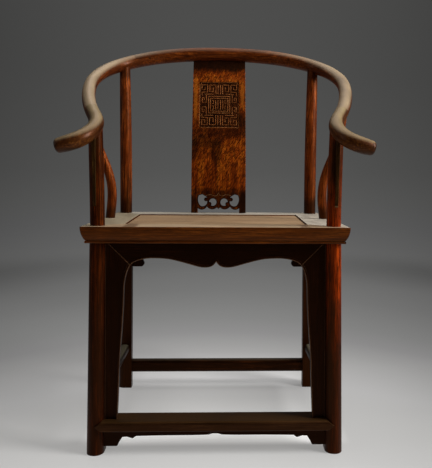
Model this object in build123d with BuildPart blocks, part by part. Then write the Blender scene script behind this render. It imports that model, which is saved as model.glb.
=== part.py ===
from build123d import *

import os

# Round-back armchair in joined hardwood, in millimetres. +Z is up and the sitter faces -Y.
# The pieces are drawn about the middle of the four legs and saved about the middle of the whole outline.
# Right-hand pieces (+X) are made first and mirrored. Every joint is cut from its two real pieces:
# a rail or board is coped against the timber that it meets, and its tenon is then taken out of that timber.

os.makedirs("parts", exist_ok=True)

# ---------------------------------------------------------------- driving dimensions

seat_height = 512
seat_width = 592
seat_depth = 462
seat_thickness = 37.5
seat_underside = seat_height - seat_thickness

leg_spread = 200            # front and rear leg centres from the middle, along Y
front_leg_x = 264           # leg centres at the seat, along X
rear_leg_x = 269
front_splay = 5             # how much further out the feet stand
rear_splay = 3
foot_setback = 2
front_leg_radii = (19.5, 17.5)      # outside-round, inside-square legs: at the foot, at the seat
rear_leg_radii = (21, 20)
front_post_radius = 16.2    # the same timbers, turned round above the seat
front_head_radius = 15.8
rear_post_radius = 16.8
rear_head_radius = 14.8

post_tenon_radius = 8       # round tenons at both ends of the posts
post_tenon_length = 30
tenon_thickness = 9
tenon_depth = 13

splat_foot_width = 160
splat_head_width = 155
splat_thickness = 13

footrest_high = 76
apron_front = leg_spread + 6
apron_thickness = 16
bead_width = 4.5
bead_height = 1.6

# Crest rail, from the middle of the back to the tip of the right grip: x, y, z, radius.
crest_stations = [
    (0, 268, 987, 20.2),
    (111, 262.5, 982.4, 20.2),
    (207.3, 243, 966.9, 19.7),
    (279.8, 207, 942, 18.8),
    (319.5, 141, 909.5, 17.7),
    (332.5, 50, 866.6, 16.8),
    (318, -50, 812.8, 16.3),
    (290.3, -130, 770, 16.3),
    (269.5, -188, 736, 17),
    (279, -228, 711.7, 17.6),
    (301.5, -249, 696.6, 18),
    (328, -254, 687.6, 16.7),
    (341, -254.5, 684, 14.4),
]
outline_setback = 8.65      # the outline reaches further back than forward of the legs
grip_rounding = 9
back_scarf_distance = 214   # along the rail, from the middle of the back to each scarf joint
front_scarf_distance = 640
scarf_length = 84
scarf_tongue = 5
wedge_wide = 9
wedge_narrow = 6
beyond = 700                # further than any point of the chair is from the cut in question


# ---------------------------------------------------------------- helpers


def save(builder, name):
    """Label a finished piece, bring it under the chair's own origin and write it as its node."""
    piece = builder.part.moved(Location((0, -outline_setback, 0)))
    piece.label = name
    export_step(piece, f"parts/{name}.step")


def mirrored(part):
    """The left-hand twin of a right-hand piece."""
    with BuildPart() as twin:
        mirror(part, about=Plane.YZ)
    return twin


def block(low, high):
    """A plain block between two corners, for tenons and housings."""
    middle = [(a + b) / 2 for a, b in zip(low, high)]
    with BuildPart() as solid:
        with Locations(tuple(middle)):
            Box(*[b - a for a, b in zip(low, high)])
    return solid


def round_bar(stations, level):
    """A tapering round bar through (x, y, z, radius) stations.

    level is the axis that the bar never runs along, so that its sections don't twist.
    """
    centres = [Vector(*station[:3]) for station in stations]
    with BuildLine() as centre_line:
        Spline(*centres)
    path = centre_line.edge()
    with BuildPart() as bar:
        for centre, station in zip(centres, stations):
            tangent = path.tangent_at(path.param_at_point(centre))
            with BuildSketch(Plane(origin=centre, x_dir=level.direction.cross(tangent), z_dir=tangent)):
                Circle(station[3])
        loft()
    return bar


def peg(x, y, low, high, radius):
    """A round upright tenon."""
    with BuildPart() as tenon:
        with BuildSketch(Plane(origin=(x, y, low))):
            Circle(radius)
        extrude(amount=high - low)
    return tenon


# ---------------------------------------------------------------- crest rail

left_stations = [(-x, y, z, radius) for x, y, z, radius in reversed(crest_stations[1:])]
all_stations = left_stations + crest_stations

with BuildLine() as crest_line:
    Spline(*[station[:3] for station in all_stations])
crest_path = crest_line.edge()

with BuildPart() as crest_blank:
    add(round_bar(all_stations, Axis.Z).part)
    grip_ends = crest_blank.edges().filter_by(lambda edge: edge.is_closed)
    fillet(grip_ends, radius=grip_rounding)


def crest_plane(distance):
    """Lengthwise plane of the rail at a distance right of its middle: x along it, y up, z sideways."""
    place = 0.5 + distance / crest_path.length
    tangent = crest_path.tangent_at(place)
    sideways = tangent.cross(Vector(0, 0, 1)).normalized()
    return Plane(origin=crest_path.position_at(place), x_dir=tangent, z_dir=sideways)


def beyond_scarf(distance):
    """Everything past a scarf joint: a half lap with a small tongue at each of its two shoulders."""
    half = scarf_length / 2
    with BuildPart() as region:
        with BuildSketch(crest_plane(distance)):
            with BuildLine():
                Polyline(
                    (-half, -beyond),
                    (-half, -scarf_tongue),
                    (-half - scarf_tongue, -scarf_tongue),
                    (-half - scarf_tongue, 0),
                    (half + scarf_tongue, 0),
                    (half + scarf_tongue, scarf_tongue),
                    (half, scarf_tongue),
                    (half, beyond),
                    (beyond, beyond),
                    (beyond, -beyond),
                    close=True,
                )
            make_face()
        extrude(amount=beyond, both=True)
    return region


def scarf_wedge(distance):
    """The tapered square pin driven sideways through the middle of a scarf joint."""
    plane = crest_plane(distance)
    with BuildPart() as wedge:
        with BuildSketch(plane.offset(-scarf_length / 2)):
            Rectangle(wedge_narrow, wedge_narrow)
        with BuildSketch(plane.offset(scarf_length / 2)):
            Rectangle(wedge_wide, wedge_wide)
        loft()
        add(crest_blank.part, mode=Mode.INTERSECT)
    return wedge


past_back_scarf = beyond_scarf(back_scarf_distance)
past_front_scarf = beyond_scarf(front_scarf_distance)
back_wedge = scarf_wedge(back_scarf_distance)
front_wedge = scarf_wedge(front_scarf_distance)

with BuildPart() as scarf_wedges:
    add([back_wedge.part, front_wedge.part])
    mirror([back_wedge.part, front_wedge.part], about=Plane.YZ)

# ---------------------------------------------------------------- legs and posts


def leg_section(x, y, level, radius, inward_y):
    """Section of a right-hand leg: round outside, with one square corner towards the inside."""
    with BuildSketch(Plane(origin=(x, y, level))) as section:
        Circle(radius)
        with Locations((-radius / 2, inward_y * radius / 2)):
            Rectangle(radius, radius)
    return section


def leg_blank(foot, seat, radii, inward_y, post_stations):
    """One timber: the splayed leg, its shoulder under the seat frame, and the round post above."""
    with BuildPart() as blank:
        add(leg_section(*foot, 0, radii[0], inward_y).sketch)
        add(leg_section(*seat, seat_underside, radii[1], inward_y).sketch)
        loft()
        add(round_bar(post_stations, Axis.Y).part)
    return blank


post_root = seat_underside - 10
front_foot = (front_leg_x + front_splay, -leg_spread - foot_setback)
front_seat = (front_leg_x, -leg_spread)
front_post_stations = [
    (*front_seat, post_root, front_post_radius),
    (*front_seat, seat_height, front_post_radius),
    (front_leg_x + 1.5, -leg_spread, 620, front_post_radius),
    (front_leg_x + 4.5, -leg_spread + 2, 726, front_head_radius),
]
rear_foot = (rear_leg_x + rear_splay, leg_spread + foot_setback)
rear_seat = (rear_leg_x, leg_spread)
rear_post_stations = [
    (*rear_seat, post_root, rear_post_radius),
    (*rear_seat, seat_height, rear_post_radius),
    (rear_leg_x + 0.5, leg_spread, 700, rear_post_radius),
    (rear_leg_x + 3, leg_spread + 5, 850, (rear_post_radius + rear_head_radius) / 2),
    (rear_leg_x + 5, leg_spread + 10, 941, rear_head_radius),
]
side_post_stations = [
    (278, 12, seat_height - 8, 12),
    (273.5, 11, 552, 12),
    (274, 10, 595, 11.5),
    (286, 8.5, 643, 11),
    (305.5, 7, 693, 10.5),
    (318.5, 5, 740, 10),
    (325, 3, 795, 9.5),
    (327, 1.5, 843, 9),
]

front_blank = leg_blank(front_foot, front_seat, front_leg_radii, 1, front_post_stations)
rear_blank = leg_blank(rear_foot, rear_seat, rear_leg_radii, -1, rear_post_stations)
front_blanks = [front_blank.part, mirrored(front_blank.part).part]
rear_blanks = [rear_blank.part, mirrored(rear_blank.part).part]


def head_tenon(stations, radius):
    """Round tenon at the head of a post, in the line of the post, standing up into the crest rail."""
    x, y, z, _ = stations[-1]
    return peg(x, y, z - post_tenon_length, z, radius)


front_tenon = head_tenon(front_post_stations, post_tenon_radius)
rear_tenon = head_tenon(rear_post_stations, post_tenon_radius)
side_head_tenon = head_tenon(side_post_stations, post_tenon_radius - 3)
side_foot_x, side_foot_y = side_post_stations[0][:2]
side_foot_tenon = peg(side_foot_x, side_foot_y, seat_height - 18, seat_height + 8, post_tenon_radius - 1)

below_seat = block((-beyond, -beyond, 0), (beyond, beyond, seat_height))
with BuildPart() as side_post_right:
    add(round_bar(side_post_stations, Axis.Y).part)
    add([crest_blank.part, below_seat.part], mode=Mode.SUBTRACT)
    add([side_head_tenon.part, side_foot_tenon.part])

# Spandrel: a thin upright board in front of the arm post, drawn in side view. Its head is coped to the rail.
spandrel_thickness = 7
spandrel_foot = 552
spandrel_head = 722
spandrel_nose = 702
spandrel_x = front_leg_x + 3
post_front = -leg_spread - front_post_radius

with BuildPart() as post_spandrel_right:
    with BuildSketch(Plane.YZ.offset(spandrel_x)):
        with BuildLine():
            hidden_edges = Polyline(
                (-leg_spread, spandrel_foot),
                (-leg_spread, spandrel_head),
                (post_front - 14, spandrel_nose),
            )
            shaped_edge = Spline(
                hidden_edges @ 1,
                (post_front - 11, 680),
                (post_front - 7, 640),
                (post_front - 5, 600),
                (post_front - 3.5, 572),
                (post_front - 0.5, spandrel_foot + 4),
            )
            Line(shaped_edge @ 1, hidden_edges @ 0)
        make_face()
    extrude(amount=spandrel_thickness / 2, both=True)
    add([front_blank.part, crest_blank.part], mode=Mode.SUBTRACT)

# ---------------------------------------------------------------- back splat

splat_front = 200           # front face of the splat at the seat, along Y
splat_root = seat_height - 12
splat_head = 976
splat_bend = [(0, seat_height), (-2, 600), (4, 700), (22, 800), (46, 900), (64, 980)]

carved_half_width = 59.5
carved_low = 762
carved_high = 902
carved_depth = 2.5

pierced_half_width = 61
scroll_foot = 525


def splat_slice(inset, thickness, half_width, low, high):
    """A slice of the bent board between two heights, a given inset behind its front face."""
    front_line = [(splat_front + inset, splat_root - 1)] + [(splat_front + inset + y, z) for y, z in splat_bend]
    with BuildPart() as piece:
        with BuildSketch(Plane.YZ):
            with BuildLine():
                front_edge = Spline(*front_line)
                back_edge = Spline(*[(y + thickness, z) for y, z in front_line])
                Line(front_edge @ 0, back_edge @ 0)
                Line(front_edge @ 1, back_edge @ 1)
            make_face()
        extrude(amount=half_width, both=True)
        add(block((-beyond, 0, low), (beyond, beyond, high)).part, mode=Mode.INTERSECT)
    return piece


# Pierced foot: an outer and an inner eye on each side of a middle stem, over a scalloped open gap.
with BuildPart() as pierced_openings:
    with BuildSketch(Plane.XZ):
        with BuildLine():
            outer_eye = Polyline((32, 545), (34, 560), (47, 568), (58, 565))
            eye_side = ThreePointArc(outer_eye @ 1, (pierced_half_width, 549), (54, 533))
            ThreePointArc(eye_side @ 1, (43, 531), outer_eye @ 0)
        make_face()
        with Locations((16.5, 544)):
            Circle(12)
        with Locations((26, 539), (36.5, 552)):
            Circle(4.5, mode=Mode.SUBTRACT)
        with BuildLine():
            gap_foot = Polyline((0, scroll_foot), (0, splat_root + 9), (pierced_half_width, splat_root + 9))
            gap_side = Line(gap_foot @ 1, (pierced_half_width, scroll_foot + 4))
            outer_lobe = ThreePointArc(gap_side @ 1, (48, scroll_foot - 2), (34, scroll_foot + 9))
            inner_lobe = ThreePointArc(outer_lobe @ 1, (18, scroll_foot - 1), (5, scroll_foot + 5))
            Line(inner_lobe @ 1, gap_foot @ 0)
        make_face()
        mirror(about=Plane.YZ)
    extrude(amount=-beyond)

with BuildPart() as splat_taper:
    with BuildSketch(Plane.XZ):
        with BuildLine():
            Polyline(
                (-splat_foot_width / 2, splat_root),
                (splat_foot_width / 2, splat_root),
                (splat_head_width / 2, splat_head),
                (-splat_head_width / 2, splat_head),
                close=True,
            )
        make_face()
    extrude(amount=-beyond)

carved_recess = splat_slice(0, carved_depth, carved_half_width, carved_low, carved_high)
splat_tongue = splat_slice(3.5, splat_thickness - 7, splat_head_width / 2 - 10, splat_root, splat_head)

with BuildPart() as back_splat:
    add(splat_slice(0, splat_thickness, splat_foot_width / 2, seat_height, splat_head).part)
    add(splat_taper.part, mode=Mode.INTERSECT)
    add(crest_blank.part, mode=Mode.SUBTRACT)
    add(splat_tongue.part)
    add([carved_recess.part, pierced_openings.part], mode=Mode.SUBTRACT)

# ---------------------------------------------------------------- seat frame

half_width = seat_width / 2
half_depth = seat_depth / 2
front_rail_width = 74
rear_rail_width = 91
side_rail_widths = (85, 75)     # at the front and at the rear, so the opening narrows towards the front
front_corner = (half_width - side_rail_widths[0], front_rail_width - half_depth)
rear_corner = (half_width - side_rail_widths[1], half_depth - rear_rail_width)


def seat_rail_bar(plane, half_length, width):
    """A rail before its mitres: flat top, bellied outer face drawn in below, small bead at the foot."""
    with BuildPart() as bar:
        with BuildSketch(plane):
            with BuildLine():
                top = Line((-width, seat_height), (-1.5, seat_height))
                nose = TangentArc(top @ 1, (0, seat_height - 1.5), tangent=(1, 0))
                belly = TangentArc(nose @ 1, (-9, seat_underside + 7), tangent=(0, -1))
                quirk = Line(belly @ 1, (-11, seat_underside + 6))
                bead = ThreePointArc(quirk @ 1, (-8, seat_underside + 3), (-11, seat_underside))
                foot = Line(bead @ 1, (-width, seat_underside))
                Line(foot @ 1, top @ 0)
            make_face()
        extrude(amount=half_length, both=True)
    return bar


side_plane = Plane(origin=(half_width, 0, 0), x_dir=(1, 0, 0), z_dir=(0, -1, 0))
front_plane = Plane(origin=(0, -half_depth, 0), x_dir=(0, -1, 0), z_dir=(-1, 0, 0))
rear_plane = Plane(origin=(0, half_depth, 0), x_dir=(0, 1, 0), z_dir=(1, 0, 0))
side_bar = seat_rail_bar(side_plane, half_depth, side_rail_widths[0])
front_bar = seat_rail_bar(front_plane, half_width, front_rail_width)
rear_bar = seat_rail_bar(rear_plane, half_width, rear_rail_width)

# The share of the frame that belongs to the right-hand rail: outside the opening, between two mitre lines.
with BuildPart() as right_share:
    with BuildSketch(Plane.XY):
        with BuildLine():
            Polyline(
                front_corner,
                (half_width + side_rail_widths[0], -half_depth - front_rail_width),
                (half_width + side_rail_widths[1], half_depth + rear_rail_width),
                rear_corner,
                close=True,
            )
        make_face()
    extrude(amount=beyond)
both_shares = [right_share.part, mirrored(right_share.part).part]

seat_tenon_width = 34
seat_tenon_height = 12
seat_tenon_low = seat_underside + 11
seat_tenon_edge = half_depth - 26


def corner_tenons(sign_y):
    """Through tenons of a front or rear rail in the two side rails, cut flush with their outer faces."""
    near, far = sorted((sign_y * (seat_tenon_edge - seat_tenon_width), sign_y * seat_tenon_edge))
    with BuildPart() as tenon:
        add(block((front_corner[0], near, seat_tenon_low),
                  (beyond, far, seat_tenon_low + seat_tenon_height)).part)
        add(side_bar.part, mode=Mode.INTERSECT)
    return [tenon.part, mirrored(tenon.part).part]


front_corner_tenons = corner_tenons(-1)
rear_corner_tenons = corner_tenons(1)

# Floating panel: a tongue all round sits in the frame's grooves, with a narrow shadow gap above it.
panel_gap = 1.6
panel_tongue = 9
panel_drop = 2.5
panel_thickness = 12
panel_low = seat_height - panel_drop - panel_thickness

with BuildSketch() as board_opening:
    with BuildLine():
        Polyline(
            front_corner,
            rear_corner,
            (-rear_corner[0], rear_corner[1]),
            (-front_corner[0], front_corner[1]),
            close=True,
        )
    make_face()

with BuildPart() as seat_panel:
    with BuildSketch(Plane.XY.offset(panel_low)):
        add(board_opening.sketch_local)
        offset(amount=-panel_gap, kind=Kind.INTERSECTION)
    extrude(amount=panel_thickness)
    chamfer(seat_panel.faces().sort_by(Axis.Z)[-1].edges(), length=1)
    with BuildSketch(Plane.XY.offset(panel_low)):
        add(board_opening.sketch_local)
        offset(amount=panel_tongue, kind=Kind.INTERSECTION)
    extrude(amount=panel_thickness / 2)

batten_x = 112
batten_width = 30
batten_height = 17
batten_low = panel_low - batten_height

with BuildPart() as seat_batten_right:
    add(block((batten_x - batten_width / 2, front_corner[1], batten_low),
              (batten_x + batten_width / 2, rear_corner[1], panel_low)).part)
    chamfer(seat_batten_right.faces().sort_by(Axis.Z)[0].edges().filter_by(Axis.Y), length=4)
    add(block((batten_x - batten_width / 3, front_corner[1] - tenon_depth, batten_low + 4),
              (batten_x + batten_width / 3, rear_corner[1] + tenon_depth, panel_low - 4)).part)

seat_batten_left = mirrored(seat_batten_right.part)
held_by_frame = [seat_panel.part, seat_batten_right.part, seat_batten_left.part]

# ---------------------------------------------------------------- arched front apron

arch_floor = footrest_high
arch_cusp = (0, 434)
arch_lobe = (25, 420)
arch_corner = (187, 429)
mitre_foot = 232.6          # height at which the two mitre lines of the arch would meet

with BuildLine() as arch_edge:
    Spline(arch_cusp, (9, 423.5), arch_lobe, tangents=[(0.45, -1), (1, 0)])
    Spline(
        arch_lobe, (50, 424.5), (82, 433.5), (107, 438.8), (129, 440.5), (153, 440), (171, 436.5), arch_corner,
        (197.5, 413), (203.5, 392), (206.5, 346), (214, 233), (221, arch_floor),
        tangents=[(1, 0), (0.05, -1)],
    )

with BuildSketch() as arch_opening:
    with BuildLine():
        add(arch_edge.line)
        Polyline((221, arch_floor), (0, arch_floor), arch_cusp)
    make_face()
    mirror(about=Plane.YZ)

with BuildSketch() as bead_strip:
    trace(arch_edge.edges(), line_width=2 * bead_width)
    with Locations(arch_cusp):
        Circle(bead_width)
    mirror(about=Plane.YZ)

apron_back_plane = Plane.XZ.offset(apron_front - apron_thickness)
apron_field_plane = Plane.XZ.offset(apron_front - bead_height)

with BuildPart() as arch_space:
    with BuildSketch(apron_back_plane):
        add(arch_opening.sketch_local)
    extrude(amount=apron_thickness)

# The boards are sunk behind a bead that follows the edge of the arch.
with BuildPart() as arch_fields:
    with BuildSketch(apron_field_plane):
        Rectangle(2 * beyond, 2 * beyond)
        add(bead_strip.sketch_local, mode=Mode.SUBTRACT)
    extrude(amount=bead_height)

with BuildPart() as arch_top_share:
    with BuildSketch(apron_back_plane):
        with BuildLine():
            reach = seat_underside - mitre_foot
            Polyline((-reach, seat_underside), (reach, seat_underside), (0, mitre_foot), close=True)
        make_face()
    extrude(amount=apron_thickness)

with BuildPart() as front_apron_top:
    add(arch_top_share.part)
    add([arch_space.part, arch_fields.part], mode=Mode.SUBTRACT)

with BuildPart() as front_apron_right:
    add(block((arch_corner[0] - 40, -apron_front, arch_floor),
              (front_leg_x, apron_thickness - apron_front, seat_underside)).part)
    add([arch_top_share.part, arch_space.part, arch_fields.part, front_blank.part], mode=Mode.SUBTRACT)

# ---------------------------------------------------------------- side and rear aprons

plain_apron_thickness = 14
strip_low = seat_underside - 42
ear_width = 34
ear_foot = 355
side_apron_x = (front_leg_x + rear_leg_x) / 2
rear_strip_plane = Plane.XZ.offset(-leg_spread)
side_strip_plane = Plane.YZ.offset(side_apron_x)


def apron_ear(plane, post, way):
    """A long ear hanging from the end of a plain apron strip, against its leg at post."""
    tip = post + way * (rear_leg_radii[1] + ear_width)
    with BuildPart() as ear:
        with BuildSketch(plane):
            with BuildLine():
                sides = Polyline((tip, strip_low), (post, strip_low), (post, ear_foot), (tip - way * 9, ear_foot))
                toe = ThreePointArc(sides @ 1, (tip - way * 2, ear_foot + 5), (tip - way * 3, ear_foot + 14))
                Spline(toe @ 1, (tip - way * 8, ear_foot + 42), sides @ 0, tangents=[(-way * 0.4, 1), (way, 1)])
            make_face()
        extrude(amount=plain_apron_thickness / 2, both=True)
        add([front_blank.part, rear_blank.part], mode=Mode.SUBTRACT)
    return ear


half_strip = plain_apron_thickness / 2
with BuildPart() as rear_apron:
    add(block((-rear_leg_x, leg_spread - half_strip, strip_low),
              (rear_leg_x, leg_spread + half_strip, seat_underside)).part)
    add(rear_blanks, mode=Mode.SUBTRACT)

with BuildPart() as side_apron_right:
    add(block((side_apron_x - half_strip, -leg_spread, strip_low),
              (side_apron_x + half_strip, leg_spread, seat_underside)).part)
    add([front_blank.part, rear_blank.part], mode=Mode.SUBTRACT)

rear_ear_right = apron_ear(rear_strip_plane, rear_leg_x, -1)
side_ear_rear_right = apron_ear(side_strip_plane, leg_spread, -1)
side_ear_front_right = apron_ear(side_strip_plane, -leg_spread, 1)

# ---------------------------------------------------------------- footrest and its apron

footrest_low = 54.5
footrest_front = leg_spread + 25
footrest_depth = 54
footrest_lap = front_leg_x + 3
lap_point = 15
footrest_middle = (footrest_low + footrest_high) / 2

with BuildPart() as footrest:
    with BuildSketch(Plane.XZ.offset(footrest_front - footrest_depth)):
        with BuildLine():
            Polyline(
                (footrest_lap, footrest_middle),
                (footrest_lap - lap_point, footrest_high),
                (lap_point - footrest_lap, footrest_high),
                (-footrest_lap, footrest_middle),
                (lap_point - footrest_lap, footrest_low),
                (footrest_lap - lap_point, footrest_low),
                close=True,
            )
        make_face()
    extrude(amount=footrest_depth)
    front_edges = footrest.edges().filter_by(Axis.X).group_by(Axis.Y)[0].sort_by(Axis.Z)
    fillet(front_edges[1], radius=7)
    front_edges = footrest.edges().filter_by(Axis.X).group_by(Axis.Y)[0].sort_by(Axis.Z)
    fillet(front_edges[0], radius=3)
    add(front_blanks, mode=Mode.SUBTRACT)
    add(block((-front_leg_x - 8, -leg_spread - tenon_thickness, footrest_low + 5),
              (front_leg_x + 8, -leg_spread + tenon_thickness, footrest_high - 6)).part)

footrest_apron_thickness = 12
footrest_ear_low = 15

with BuildPart() as footrest_apron:
    with BuildSketch(Plane.XZ.offset(apron_front - footrest_apron_thickness)):
        with BuildLine():
            hidden = Polyline((0, footrest_low), (front_leg_x, footrest_low), (front_leg_x, footrest_ear_low))
            ear_edge = Line(hidden @ 1, (223, footrest_ear_low))
            toe = TangentArc(ear_edge @ 1, (218, footrest_ear_low + 4), tangent=(-1, 0))
            throat = Spline(toe @ 1, (214, 27), (208.5, 35.5), tangents=[(-0.2, 1), (-0.6, 1)])
            ledge = Line(throat @ 1, (198, 36.2))
            tooth = Polyline(ledge @ 1, (185.5, 32.2), (178, 37.5))
            run = Spline(tooth @ 1, (100, 38.6), (16, 39.6), tangents=[(-1, 0.02), (-1, 0.05)])
            step = Spline(run @ 1, (8, 41.8), (0, 42.3), tangents=[(-1, 0.05), (-1, 0)])
            Line(step @ 1, hidden @ 0)
        make_face()
        mirror(about=Plane.YZ)
    extrude(amount=footrest_apron_thickness)
    add(front_blanks, mode=Mode.SUBTRACT)

# ---------------------------------------------------------------- side and rear stretchers

side_stretcher_low = 104.5
side_stretcher_high = 128
side_stretcher_width = 27
side_stretcher_x = side_apron_x + 3.5
rear_stretcher_low = 42.5
rear_stretcher_high = 79.5
rear_stretcher_depth = 25
stretcher_rounding = 0.42   # share of the smaller side that its worn corners take


def stretcher_bar(plane, width, height, half_length):
    """A stretcher before coping: a flattened oval bar, centred on its plane."""
    with BuildPart() as bar:
        with BuildSketch(plane):
            RectangleRounded(width, height, radius=stretcher_rounding * min(width, height))
        extrude(amount=half_length, both=True)
    return bar


side_stretcher_middle = (side_stretcher_low + side_stretcher_high) / 2
side_stretcher_plane = Plane(
    origin=(side_stretcher_x, 0, side_stretcher_middle), x_dir=(1, 0, 0), z_dir=(0, -1, 0)
)
side_stretcher_height = side_stretcher_high - side_stretcher_low
rear_stretcher_middle = (rear_stretcher_low + rear_stretcher_high) / 2
rear_stretcher_plane = Plane(origin=(0, leg_spread, rear_stretcher_middle), x_dir=(0, 1, 0), z_dir=(1, 0, 0))
rear_stretcher_height = rear_stretcher_high - rear_stretcher_low

with BuildPart() as side_stretcher_right:
    add(stretcher_bar(side_stretcher_plane, side_stretcher_width, side_stretcher_height, leg_spread).part)
    add([front_blank.part, rear_blank.part], mode=Mode.SUBTRACT)
    add(block((side_stretcher_x - tenon_thickness / 2, -leg_spread, side_stretcher_low + 3),
              (side_stretcher_x + tenon_thickness / 2, leg_spread, side_stretcher_high - 3)).part)

with BuildPart() as rear_stretcher:
    add(stretcher_bar(rear_stretcher_plane, rear_stretcher_depth, rear_stretcher_height, rear_leg_x).part)
    add(rear_blanks, mode=Mode.SUBTRACT)
    add(block((-rear_leg_x, leg_spread - tenon_thickness / 2, rear_stretcher_low + 4),
              (rear_leg_x, leg_spread + tenon_thickness / 2, rear_stretcher_high - 4)).part)

# ---------------------------------------------------------------- fitting the pieces together

with BuildPart() as crest_rail_back:
    add(crest_blank.part)
    add([past_back_scarf.part, mirrored(past_back_scarf.part).part], mode=Mode.SUBTRACT)
    add([scarf_wedges.part, splat_tongue.part], mode=Mode.SUBTRACT)

with BuildPart() as crest_rail_arm_right:
    add(crest_blank.part)
    add(past_back_scarf.part, mode=Mode.INTERSECT)
    add([past_front_scarf.part, scarf_wedges.part, rear_tenon.part, side_head_tenon.part], mode=Mode.SUBTRACT)

with BuildPart() as crest_rail_hand_right:
    add(crest_blank.part)
    add(past_back_scarf.part, mode=Mode.INTERSECT)
    add(past_front_scarf.part, mode=Mode.INTERSECT)
    add([scarf_wedges.part, front_tenon.part], mode=Mode.SUBTRACT)

with BuildPart() as front_leg_right:
    add(front_blank.part)
    add(crest_blank.part, mode=Mode.SUBTRACT)
    add(front_tenon.part)
    add([footrest.part, side_stretcher_right.part], mode=Mode.SUBTRACT)

with BuildPart() as rear_leg_right:
    add(rear_blank.part)
    add(crest_blank.part, mode=Mode.SUBTRACT)
    add(rear_tenon.part)
    add([rear_stretcher.part, side_stretcher_right.part], mode=Mode.SUBTRACT)

with BuildPart() as seat_rail_front:
    add(front_bar.part)
    add(both_shares, mode=Mode.SUBTRACT)
    add(front_corner_tenons)
    add(front_blanks + held_by_frame, mode=Mode.SUBTRACT)

with BuildPart() as seat_rail_rear:
    add(rear_bar.part)
    add(both_shares, mode=Mode.SUBTRACT)
    add(rear_corner_tenons)
    add(rear_blanks + held_by_frame + [back_splat.part], mode=Mode.SUBTRACT)

with BuildPart() as seat_rail_right:
    add(side_bar.part)
    add(right_share.part, mode=Mode.INTERSECT)
    add([front_corner_tenons[0], rear_corner_tenons[0]], mode=Mode.SUBTRACT)
    add([front_blank.part, rear_blank.part, seat_panel.part, side_foot_tenon.part], mode=Mode.SUBTRACT)

# ---------------------------------------------------------------- finished pieces

centre_pieces = {
    "crest_rail_back": crest_rail_back,
    "scarf_wedges": scarf_wedges,
    "back_splat": back_splat,
    "seat_rail_front": seat_rail_front,
    "seat_rail_rear": seat_rail_rear,
    "seat_panel": seat_panel,
    "front_apron_top": front_apron_top,
    "rear_apron": rear_apron,
    "footrest": footrest,
    "footrest_apron": footrest_apron,
    "rear_stretcher": rear_stretcher,
}
right_pieces = {
    "crest_rail_arm": crest_rail_arm_right,
    "crest_rail_hand": crest_rail_hand_right,
    "front_leg": front_leg_right,
    "rear_leg": rear_leg_right,
    "side_post": side_post_right,
    "post_spandrel": post_spandrel_right,
    "seat_rail": seat_rail_right,
    "seat_batten": seat_batten_right,
    "front_apron": front_apron_right,
    "side_apron": side_apron_right,
    "side_ear_front": side_ear_front_right,
    "side_ear_rear": side_ear_rear_right,
    "rear_ear": rear_ear_right,
    "side_stretcher": side_stretcher_right,
}

for name, piece in centre_pieces.items():
    save(piece, name)

for name, piece in right_pieces.items():
    save(piece, f"{name}_right")
    save(mirrored(piece.part), f"{name}_left")
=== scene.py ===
"""Round-back armchair in lacquered elm: finishes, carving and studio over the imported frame."""

import logging
import math
from collections.abc import Callable, Sequence
from dataclasses import dataclass, replace
from enum import Enum
from typing import Any

import bmesh
import bpy
from mathutils import Euler, Matrix, Vector


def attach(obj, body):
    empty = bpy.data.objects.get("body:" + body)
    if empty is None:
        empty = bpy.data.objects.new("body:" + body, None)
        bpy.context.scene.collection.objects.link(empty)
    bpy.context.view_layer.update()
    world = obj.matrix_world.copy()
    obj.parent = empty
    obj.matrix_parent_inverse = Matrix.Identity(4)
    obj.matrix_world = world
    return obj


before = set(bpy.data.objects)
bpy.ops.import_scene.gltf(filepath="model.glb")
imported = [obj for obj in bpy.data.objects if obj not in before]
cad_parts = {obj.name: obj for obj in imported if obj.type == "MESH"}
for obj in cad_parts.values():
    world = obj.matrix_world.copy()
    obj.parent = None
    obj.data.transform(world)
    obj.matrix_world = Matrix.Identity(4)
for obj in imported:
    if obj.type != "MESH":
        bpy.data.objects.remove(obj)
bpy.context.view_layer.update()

LOG = logging.getLogger("armchair")
MM = 0.001
SIDES = ((-1, "left"), (1, "right"))

Tree = bpy.types.NodeTree
Socket = bpy.types.NodeSocket
Place = tuple[float, float, float]
# Points as x and z.
Outline = tuple[tuple[float, float], ...]
# Places along a gradient, in rising order, with the factor or the hex colour at each.
Factors = tuple[tuple[float, float], ...]
Colours = tuple[tuple[float, str], ...]


def linear(hex_colour: str) -> tuple[float, float, float, float]:
    """Turns an sRGB hex colour into the linear colour that a shader socket takes.

    Args:
        hex_colour: Six hex digits, such as "5a2a10".

    Returns:
        Linear red, green, blue and an alpha of 1.
    """
    channels = [int(hex_colour[place : place + 2], 16) / 255 for place in (0, 2, 4)]
    red, green, blue = (
        c / 12.92 if c <= 0.04045 else ((c + 0.055) / 1.055) ** 2.4 for c in channels
    )
    return red, green, blue, 1.0


def add_node(
    tree: Tree,
    kind: str,
    inputs: dict[Any, Any] | None = None,
    stops: list[tuple[float, Any]] | None = None,
    **settings: Any,
) -> bpy.types.Node:
    """Adds one shader node.

    Args:
        tree: The node tree that it goes into.
        kind: Blender's name of the node type.
        inputs: Values by socket name or number. An output socket is linked, anything else is set.
            A Mix has its factor at 0, numbers at 2 and 3, and colours at 6 and 7. A Map Range
            has its value at 0, the range that it is read in at 1 and 2, and the new one at 3 and 4.
        stops: For a colour ramp, the place and the colour or grey level of each stop, in order.
        **settings: Properties of the node itself.

    Returns:
        The new node.
    """
    node = tree.nodes.new(kind)
    for name, value in settings.items():
        setattr(node, name, value)
    for key, value in (inputs or {}).items():
        if isinstance(value, Socket):
            tree.links.new(value, node.inputs[key])
        else:
            node.inputs[key].default_value = value
    if stops:
        points = node.color_ramp.elements
        while len(points) < len(stops):
            points.new(0.5)
        for point, (place, value) in zip(points, stops):
            point.position = place
            point.color = value if isinstance(value, tuple) else (value, value, value, 1.0)
    return node


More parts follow.
